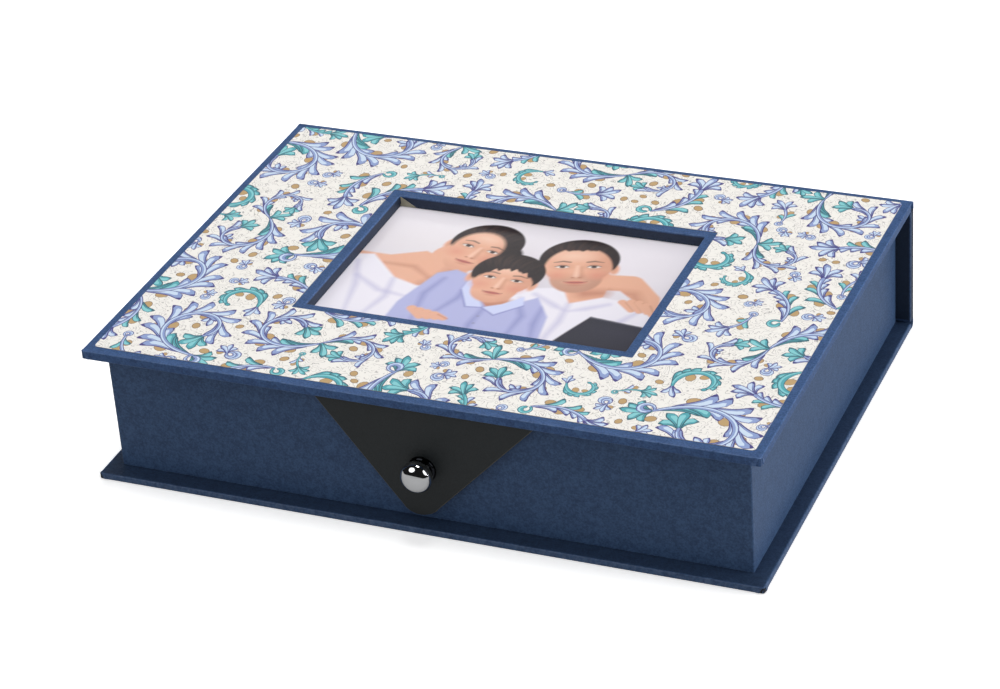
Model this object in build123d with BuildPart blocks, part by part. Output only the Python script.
from build123d import *
import os

# Photo storage box built like a bound book. A lid board, a spine board and a base board are
# wrapped in one dark blue covering paper, which is the hinge. A tray of four walls and a floor is
# glued to the base and to the spine. The lid has a window with a photo pocket under it, and a
# tapered flap with a ball knob holds the lid shut with a magnet.
# Millimetres. The origin is the centre of the underside, +X is right, +Y is back and +Z is up.

# Boards and papers
lid_board_thickness = 3.0
spine_board_thickness = 3.0
base_board_thickness = 2.0
wall_board_thickness = 2.5
floor_board_thickness = 2.0
wrap_thickness = 0.2
lining_thickness = 0.2
decorative_paper_thickness = 0.2

# Cover of the box: lid, spine and base
cover_width = 249.0
cover_depth = 182.0
turn_in = 15.0                  # covering paper folded over the edge of a board
hinge_bend_radius = 1.6         # outer radius of the covering along both rear edges
hinge_clearance = 0.3           # between the lid's rear edge and the hinge paper

# Tray
tray_height = 47.4
tray_side_setback = 5.8         # from the sides of the cover
tray_front_setback = 7.3        # from the front of the cover
tray_turn_in = 12.0             # covering paper folded under the tray
lid_gap = 0.2                   # between the tray's rim and the lid

# Printed paper on the lid
paper_front_margin = 3.8
paper_side_margin = 3.2
paper_back_margin = 0.2         # from the rear edge of the lid board to the paper
paper_corner_radius = 1.5
window_band = 3.8               # covering paper left bare round the window

# Window and photo pocket
print_width = 127.0
print_depth = 89.0
print_side_cover = 3.0          # of the print, behind each side of the window
print_end_cover = 2.5           # of the print, behind the window's front and back
window_offset_x = -1.0          # from the centre of the box
window_offset_y = 2.5
print_thickness = 0.25
print_side_clearance = 0.3
print_top_clearance = 0.1
print_grip = 2.0                # photo that stands past the pocket's back
pocket_glue_margin = 6.0
pocket_mat_thickness = 1.0
pocket_spacer_thickness = 0.5
pocket_back_thickness = 0.8

# Closing flap
flap_offset_x = 1.5             # from the centre of the box
flap_half_width = 41.2
flap_point_height = 2.2         # where the two straight sides would meet
flap_tip_radius = 7.0
flap_leather_thickness = 0.9
flap_lining_thickness = 0.3
flap_lid_clearance = 0.05
flap_tab_length = 17.0
flap_tab_thickness = 0.8

# Knob, its screw, and the magnet and plate of the closure
knob_height = 25.6
knob_flange_radius = 5.1
knob_flange_thickness = 1.0
knob_neck_radius = 2.5
knob_ball_radius = 5.2
knob_ball_reach = 5.1           # from the flange's front to the ball's centre
screw_radius = 1.5
screw_head_radius = 3.0
screw_depth_in_knob = 5.0
screw_clearance = 0.05
magnet_radius = 6.0
magnet_thickness = 2.4
magnet_clearance = 0.3          # to the tray
plate_radius = 7.0
plate_thickness = 1.0
plate_clearance = 0.1

# Levels and faces that follow from these
left = -cover_width / 2
right = cover_width / 2
front = -cover_depth / 2
back = cover_depth / 2
base_top = base_board_thickness + 2 * wrap_thickness
tray_rim = base_top + tray_height
lid_bottom = tray_rim + lid_gap
lid_thickness = lid_board_thickness + 2 * wrap_thickness
lid_top = lid_bottom + lid_thickness
spine_thickness = spine_board_thickness + 2 * wrap_thickness
board_rear = back - spine_thickness             # rear edge of the lid and of the base
spine_bottom = spine_thickness
spine_top = lid_top - spine_thickness

tray_right = right - tray_side_setback
tray_front = front + tray_front_setback
tray_rear = board_rear
wall_thickness = wall_board_thickness + 2 * wrap_thickness
cavity_right = tray_right - wall_thickness
cavity_front = tray_front + wall_thickness
cavity_rear = tray_rear - wall_thickness
floor_bottom = base_top + wrap_thickness
floor_top = floor_bottom + floor_board_thickness

print_left = window_offset_x - print_width / 2
print_right = window_offset_x + print_width / 2
print_front = window_offset_y - print_depth / 2
print_rear = window_offset_y + print_depth / 2
window_left = print_left + print_side_cover
window_right = print_right - print_side_cover
window_front = print_front + print_end_cover
window_rear = print_rear - print_end_cover
pocket_left = print_left - print_side_clearance - pocket_glue_margin
pocket_front = print_front - print_side_clearance - pocket_glue_margin
pocket_rear = print_rear + print_side_clearance + pocket_glue_margin
mat_bottom = lid_bottom - pocket_mat_thickness
spacer_bottom = mat_bottom - pocket_spacer_thickness
pocket_bottom = spacer_bottom - pocket_back_thickness

flap_left = flap_offset_x - flap_half_width
flap_right = flap_offset_x + flap_half_width
flap_thickness = flap_leather_thickness + flap_lining_thickness
magnet_back = tray_front - magnet_clearance
flap_back = magnet_back - magnet_thickness
flap_joint = flap_back - flap_lining_thickness
flap_front = flap_joint - flap_leather_thickness
flap_hinge_y = (flap_front + flap_back) / 2
flap_hinge_z = lid_bottom - flap_lid_clearance - flap_thickness / 2

os.makedirs("parts", exist_ok=True)


def area(x0, y0, x1, y1, mode=Mode.ADD):
    """Add or cut the rectangle between two corners in the open sketch."""
    with Locations(((x0 + x1) / 2, (y0 + y1) / 2)):
        Rectangle(x1 - x0, y1 - y0, mode=mode)


def window(margin, mode=Mode.SUBTRACT):
    """The window's rectangle, grown by a margin on every side."""
    area(window_left - margin, window_front - margin, window_right + margin, window_rear + margin, mode)


def save(piece, name):
    """Label a finished piece and write it."""
    piece.part.label = name
    export_step(piece.part, f"parts/{name}.step")


def cover_sheet(kept=None):
    """Covering paper of the lid or the base: the whole sheet, or the strip kept along three edges."""
    area(left, front, right, board_rear)
    if kept:
        area(left + kept, front + kept, right - kept, board_rear, Mode.SUBTRACT)


# Base: the board that everything stands on

with BuildPart() as base_board:
    with BuildSketch(Plane.XY.offset(wrap_thickness)):
        area(left + wrap_thickness, front + wrap_thickness, right - wrap_thickness, board_rear)
    extrude(amount=base_board_thickness)
save(base_board, "base_board")

with BuildPart() as base_wrap:
    with BuildSketch(Plane.XY):
        cover_sheet()
    extrude(amount=wrap_thickness)
    with BuildSketch(Plane.XY.offset(wrap_thickness)):
        cover_sheet(wrap_thickness)
    extrude(amount=base_board_thickness)
    with BuildSketch(Plane.XY.offset(base_top - wrap_thickness)):
        cover_sheet(turn_in)
    extrude(amount=wrap_thickness)
save(base_wrap, "base_wrap")

# Spine: a tall narrow board behind the tray

with BuildPart() as spine_board:
    with BuildSketch(Plane.XY.offset(spine_bottom)):
        area(left + wrap_thickness, board_rear + wrap_thickness, right - wrap_thickness,
             back - wrap_thickness)
    extrude(amount=spine_top - spine_bottom)
save(spine_board, "spine_board")

with BuildPart() as spine_wrap:
    with BuildSketch(Plane.XY.offset(spine_bottom)):
        area(left, board_rear, right, back)
        area(left + wrap_thickness, board_rear + wrap_thickness, right - wrap_thickness,
             back - wrap_thickness, Mode.SUBTRACT)
        area(left + turn_in, board_rear, right - turn_in, board_rear + wrap_thickness, Mode.SUBTRACT)
    extrude(amount=spine_top - spine_bottom)
save(spine_wrap, "spine_wrap")

# Hinge papers: the covering and its lining, bent round the two rear edges

hinge_paper_thickness = wrap_thickness + lining_thickness
hinge_line_inset = hinge_paper_thickness / 2
hinge_line_radius = hinge_bend_radius - hinge_line_inset

with BuildPart() as hinge_wrap_lower:
    with BuildSketch(Plane.YZ.offset(left)):
        with BuildLine():
            FilletPolyline((board_rear, hinge_line_inset), (back - hinge_line_inset, hinge_line_inset),
                           (back - hinge_line_inset, spine_bottom), radius=hinge_line_radius)
        trace(line_width=hinge_paper_thickness)
    extrude(amount=cover_width)
save(hinge_wrap_lower, "hinge_wrap_lower")

with BuildPart() as hinge_wrap_upper:
    with BuildSketch(Plane.YZ.offset(left)):
        with BuildLine():
            FilletPolyline((board_rear + hinge_clearance, lid_top - hinge_line_inset),
                           (back - hinge_line_inset, lid_top - hinge_line_inset),
                           (back - hinge_line_inset, spine_top), radius=hinge_line_radius)
        trace(line_width=hinge_paper_thickness)
    extrude(amount=cover_width)
save(hinge_wrap_upper, "hinge_wrap_upper")

# Tray: floor, four walls, their covering and the lining of the floor

wall_inside = tray_right - wrap_thickness - wall_board_thickness
wall_height = tray_height - 2 * wrap_thickness

with BuildPart() as tray_floor:
    with BuildSketch(Plane.XY.offset(floor_bottom)):
        area(-wall_inside, cavity_front - wrap_thickness, wall_inside, cavity_rear + wrap_thickness)
    extrude(amount=floor_board_thickness)
save(tray_floor, "tray_floor")

with BuildPart() as tray_front_wall:
    with BuildSketch(Plane.XY.offset(floor_bottom)):
        area(-tray_right + wrap_thickness, tray_front + wrap_thickness,
             tray_right - wrap_thickness, cavity_front - wrap_thickness)
    extrude(amount=wall_height)
    # shallow seat for the steel plate, under the covering
    with BuildSketch(Plane(origin=(flap_offset_x, tray_front + wrap_thickness, knob_height), z_dir=(0, 1, 0))):
        Circle(plate_radius + plate_clearance)
    extrude(amount=plate_thickness, mode=Mode.SUBTRACT)
save(tray_front_wall, "tray_front_wall")

with BuildPart() as tray_back_wall:
    with BuildSketch(Plane.XY.offset(floor_bottom)):
        area(-tray_right + wrap_thickness, cavity_rear + wrap_thickness,
             tray_right - wrap_thickness, tray_rear - wrap_thickness)
    extrude(amount=wall_height)
save(tray_back_wall, "tray_back_wall")

with BuildPart() as tray_right_wall:
    with BuildSketch(Plane.XY.offset(floor_bottom)):
        area(wall_inside, cavity_front - wrap_thickness,
             tray_right - wrap_thickness, cavity_rear + wrap_thickness)
    extrude(amount=wall_height)
save(tray_right_wall, "tray_right_wall")

with BuildPart() as tray_left_wall:
    mirror(tray_right_wall.part, about=Plane.YZ)
save(tray_left_wall, "tray_left_wall")

with BuildPart() as tray_wrap:
    # sheet folded under the tray
    with BuildSketch(Plane.XY.offset(base_top)):
        area(-tray_right, tray_front, tray_right, tray_rear)
        area(-tray_right + tray_turn_in, tray_front + tray_turn_in,
             tray_right - tray_turn_in, tray_rear - tray_turn_in, Mode.SUBTRACT)
    extrude(amount=wrap_thickness)
    # outer sheet
    with BuildSketch(Plane.XY.offset(floor_bottom)):
        area(-tray_right, tray_front, tray_right, tray_rear)
        area(-tray_right + wrap_thickness, tray_front + wrap_thickness,
             tray_right - wrap_thickness, tray_rear - wrap_thickness, Mode.SUBTRACT)
    extrude(amount=wall_height)
    # inner sheet
    with BuildSketch(Plane.XY.offset(floor_top)):
        area(-wall_inside, cavity_front - wrap_thickness, wall_inside, cavity_rear + wrap_thickness)
        area(-cavity_right, cavity_front, cavity_right, cavity_rear, Mode.SUBTRACT)
    extrude(amount=wall_height - floor_board_thickness)
    # rim
    with BuildSketch(Plane.XY.offset(tray_rim - wrap_thickness)):
        area(-tray_right, tray_front, tray_right, tray_rear)
        area(-cavity_right, cavity_front, cavity_right, cavity_rear, Mode.SUBTRACT)
    extrude(amount=wrap_thickness)
save(tray_wrap, "tray_wrap")

with BuildPart() as tray_floor_lining:
    with BuildSketch(Plane.XY.offset(floor_top)):
        area(-cavity_right, cavity_front, cavity_right, cavity_rear)
    extrude(amount=lining_thickness)
save(tray_floor_lining, "tray_floor_lining")

with BuildPart() as closure_plate:
    with BuildSketch(Plane(origin=(flap_offset_x, tray_front + wrap_thickness, knob_height), z_dir=(0, 1, 0))):
        Circle(plate_radius)
    extrude(amount=plate_thickness)
save(closure_plate, "closure_plate")

# Closing flap's tab: glued into a shallow seat in the underside of the lid

with BuildPart() as flap_tab:
    with BuildSketch(Plane.XY.offset(lid_bottom)):
        area(flap_left, flap_hinge_y, flap_right, flap_hinge_y + flap_tab_length)
    extrude(amount=flap_tab_thickness)
save(flap_tab, "flap_tab")

# Lid: board, covering, lining and printed paper

with BuildPart() as lid_board:
    with BuildSketch(Plane.XY.offset(lid_bottom + wrap_thickness)):
        area(left + wrap_thickness, front + wrap_thickness, right - wrap_thickness, board_rear)
        window(wrap_thickness)
    extrude(amount=lid_board_thickness)
    add(flap_tab.part, mode=Mode.SUBTRACT)
save(lid_board, "lid_board")

with BuildPart() as lid_wrap:
    with BuildSketch(Plane.XY.offset(lid_bottom)):
        cover_sheet(turn_in)
    extrude(amount=wrap_thickness)
    with BuildSketch(Plane.XY.offset(lid_bottom + wrap_thickness)):
        cover_sheet(wrap_thickness)
    extrude(amount=lid_board_thickness)
    with BuildSketch(Plane.XY.offset(lid_top - wrap_thickness)):
        cover_sheet()
    extrude(amount=wrap_thickness)
    # covering turned down the four sides of the window
    with BuildSketch(Plane.XY.offset(lid_bottom)):
        window(wrap_thickness, Mode.ADD)
    extrude(amount=lid_thickness)
    with BuildSketch(Plane.XY.offset(lid_bottom)):
        window(0, Mode.ADD)
    extrude(amount=lid_thickness, mode=Mode.SUBTRACT)
    add(flap_tab.part, mode=Mode.SUBTRACT)
save(lid_wrap, "lid_wrap")

with BuildPart() as lid_lining:
    with BuildSketch(Plane.XY.offset(lid_bottom)):
        area(left + turn_in, front + turn_in, right - turn_in, board_rear)
        window(wrap_thickness)
    extrude(amount=wrap_thickness)
    add(flap_tab.part, mode=Mode.SUBTRACT)
save(lid_lining, "lid_lining")

with BuildPart() as decorative_paper:
    with BuildSketch(Plane.XY.offset(lid_top)) as paper_outline:
        area(left + paper_side_margin, front + paper_front_margin,
             right - paper_side_margin, board_rear - paper_back_margin)
        fillet(paper_outline.vertices(), paper_corner_radius)
        window(window_band)
    extrude(amount=decorative_paper_thickness)
save(decorative_paper, "decorative_paper")

# Photo pocket under the window: mat, three-sided spacer, back, and the print that slides in

with BuildPart() as pocket_mat:
    with BuildSketch(Plane.XY.offset(mat_bottom)):
        area(pocket_left, pocket_front, print_right, pocket_rear)
        window(0)
    extrude(amount=pocket_mat_thickness)
save(pocket_mat, "pocket_mat")

with BuildPart() as pocket_spacer:
    with BuildSketch(Plane.XY.offset(spacer_bottom)):
        area(pocket_left, pocket_front, print_right, pocket_rear)
        area(print_left - print_side_clearance, print_front - print_side_clearance,
             print_right, print_rear + print_side_clearance, Mode.SUBTRACT)
    extrude(amount=pocket_spacer_thickness)
save(pocket_spacer, "pocket_spacer")

with BuildPart() as pocket_back:
    with BuildSketch(Plane.XY.offset(pocket_bottom)):
        area(pocket_left, pocket_front, print_right - print_grip, pocket_rear)
    extrude(amount=pocket_back_thickness)
save(pocket_back, "pocket_back")

with BuildPart() as photo_print:
    with BuildSketch(Plane.XY.offset(mat_bottom - print_top_clearance - print_thickness)):
        area(print_left, print_front, print_right, print_rear)
    extrude(amount=print_thickness)
save(photo_print, "photo_print")

# Closing flap: the leather that hangs from the lid, and its lining

with BuildSketch() as flap_outline:
    with BuildLine():
        Polyline((-flap_half_width, flap_hinge_z), (flap_half_width, flap_hinge_z),
                 (0, flap_point_height), close=True)
    make_face()
    fillet(flap_outline.vertices().sort_by(Axis.Y)[0], flap_tip_radius)
    with Locations((0, knob_height)):
        Circle(screw_radius + screw_clearance, mode=Mode.SUBTRACT)

with BuildPart() as closure_flap:
    with BuildSketch(Plane(origin=(flap_offset_x, flap_front, 0), x_dir=(-1, 0, 0), z_dir=(0, 1, 0))):
        add(flap_outline.sketch)
    extrude(amount=flap_leather_thickness)
save(closure_flap, "closure_flap")

with BuildPart() as flap_lining:
    with BuildSketch(Plane(origin=(flap_offset_x, flap_joint, 0), x_dir=(-1, 0, 0), z_dir=(0, 1, 0))):
        add(flap_outline.sketch)
    extrude(amount=flap_lining_thickness)
save(flap_lining, "flap_lining")

# Knob, screw and magnet on the flap

with BuildPart() as ball_knob:
    with BuildSketch(Plane(origin=(flap_offset_x, flap_front, knob_height), z_dir=(0, -1, 0))):
        Circle(knob_flange_radius)
    extrude(amount=knob_flange_thickness)
    fillet(ball_knob.edges().group_by(Axis.Y)[0], knob_flange_thickness / 3)
    with BuildSketch(Plane(origin=(flap_offset_x, flap_front, knob_height), z_dir=(0, -1, 0))):
        Circle(knob_neck_radius)
    extrude(amount=knob_flange_thickness + knob_ball_reach)
    with Locations((flap_offset_x, flap_front - knob_flange_thickness - knob_ball_reach, knob_height)):
        Sphere(knob_ball_radius)
    with BuildSketch(Plane(origin=(flap_offset_x, flap_front, knob_height), z_dir=(0, -1, 0))):
        Circle(screw_radius + screw_clearance)
    extrude(amount=screw_depth_in_knob + screw_clearance, mode=Mode.SUBTRACT)
save(ball_knob, "ball_knob")

with BuildPart() as clasp_magnet:
    with BuildSketch(Plane(origin=(flap_offset_x, flap_back, knob_height), z_dir=(0, 1, 0))):
        Circle(magnet_radius)
    extrude(amount=magnet_thickness)
    with Locations(Plane(origin=(flap_offset_x, magnet_back, knob_height), z_dir=(0, 1, 0))):
        CounterSinkHole(radius=screw_radius + screw_clearance,
                        counter_sink_radius=screw_head_radius + screw_clearance,
                        depth=magnet_thickness, counter_sink_angle=90)
save(clasp_magnet, "clasp_magnet")

screw_head_height = screw_head_radius - screw_radius

with BuildPart() as knob_screw:
    with BuildSketch(Plane(origin=(flap_offset_x, magnet_back, knob_height), z_dir=(0, -1, 0))):
        Circle(screw_radius)
    extrude(amount=magnet_back - flap_front + screw_depth_in_knob)
    with BuildSketch(Plane(origin=(flap_offset_x, 0, knob_height), x_dir=(0, 1, 0), z_dir=(1, 0, 0))):
        with BuildLine():
            Polyline((magnet_back, 0), (magnet_back, screw_head_radius),
                     (magnet_back - screw_head_height, screw_radius),
                     (magnet_back - screw_head_height, 0), close=True)
        make_face()
    revolve(axis=Axis((flap_offset_x, 0, knob_height), (0, 1, 0)))
save(knob_screw, "knob_screw")
